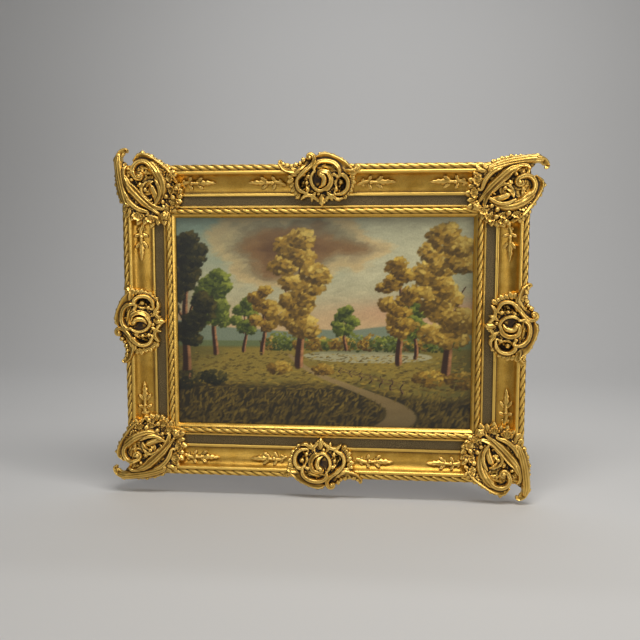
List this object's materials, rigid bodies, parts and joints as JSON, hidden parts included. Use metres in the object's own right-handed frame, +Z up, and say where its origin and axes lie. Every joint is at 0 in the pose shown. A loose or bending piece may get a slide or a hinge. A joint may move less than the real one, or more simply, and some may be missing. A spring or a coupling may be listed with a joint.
{
  "type": "framed oil painting",
  "caption": "Landscape oil painting on a stretched canvas, in a deep carved and gilded frame with rococo corner and centre ornaments, hung from a plate on its back.",
  "frame": {"origin": "middle of the hanger's raised plate on the back of the top rail, where it meets the wall", "axes": "+X right and +Z up as seen from the front, +Y into the wall; the painting faces -Y"},
  "size_m": [0.9974, 0.066, 0.7974],
  "materials": {
    "gilded_rail": "carved wood under gesso and antique gold leaf, with an olive-bronze sanded flat and dark patina in the recesses",
    "gilded_ornament": "moulded compo under antique gold leaf, worn bright on the ridges and dark brown in the hollows",
    "painted_canvas": "oil paint in low impasto on primed linen, satin varnish; bare linen on the back",
    "stretcher_wood": "plain sawn softwood",
    "steel_fittings": "zinc-plated sheet, dulled"
  },
  "bodies": {
    "root": {"rail_top": "gilded_rail", "rail_right": "gilded_rail", "rail_bottom": "gilded_rail", "rail_left": "gilded_rail", "corner_top_left": "gilded_ornament", "corner_top_right": "gilded_ornament", "corner_bottom_right": "gilded_ornament", "corner_bottom_left": "gilded_ornament", "cartouche_top": "gilded_ornament", "cartouche_right": "gilded_ornament", "cartouche_bottom": "gilded_ornament", "cartouche_left": "gilded_ornament", "spray_top_start": "gilded_ornament", "spray_top_mid_start": "gilded_ornament", "spray_top_mid_end": "gilded_ornament", "spray_top_end": "gilded_ornament", "spray_right_start": "gilded_ornament", "spray_right_end": "gilded_ornament", "spray_bottom_start": "gilded_ornament", "spray_bottom_mid_start": "gilded_ornament", "spray_bottom_mid_end": "gilded_ornament", "spray_bottom_end": "gilded_ornament", "spray_left_start": "gilded_ornament", "spray_left_end": "gilded_ornament", "canvas": "painted_canvas", "stretcher_top": "stretcher_wood", "stretcher_right": "stretcher_wood", "stretcher_bottom": "stretcher_wood", "stretcher_left": "stretcher_wood", "clip_top": "steel_fittings", "clip_right": "steel_fittings", "clip_bottom": "steel_fittings", "clip_left": "steel_fittings", "hanger": "steel_fittings"}
  },
  "joints": []
}
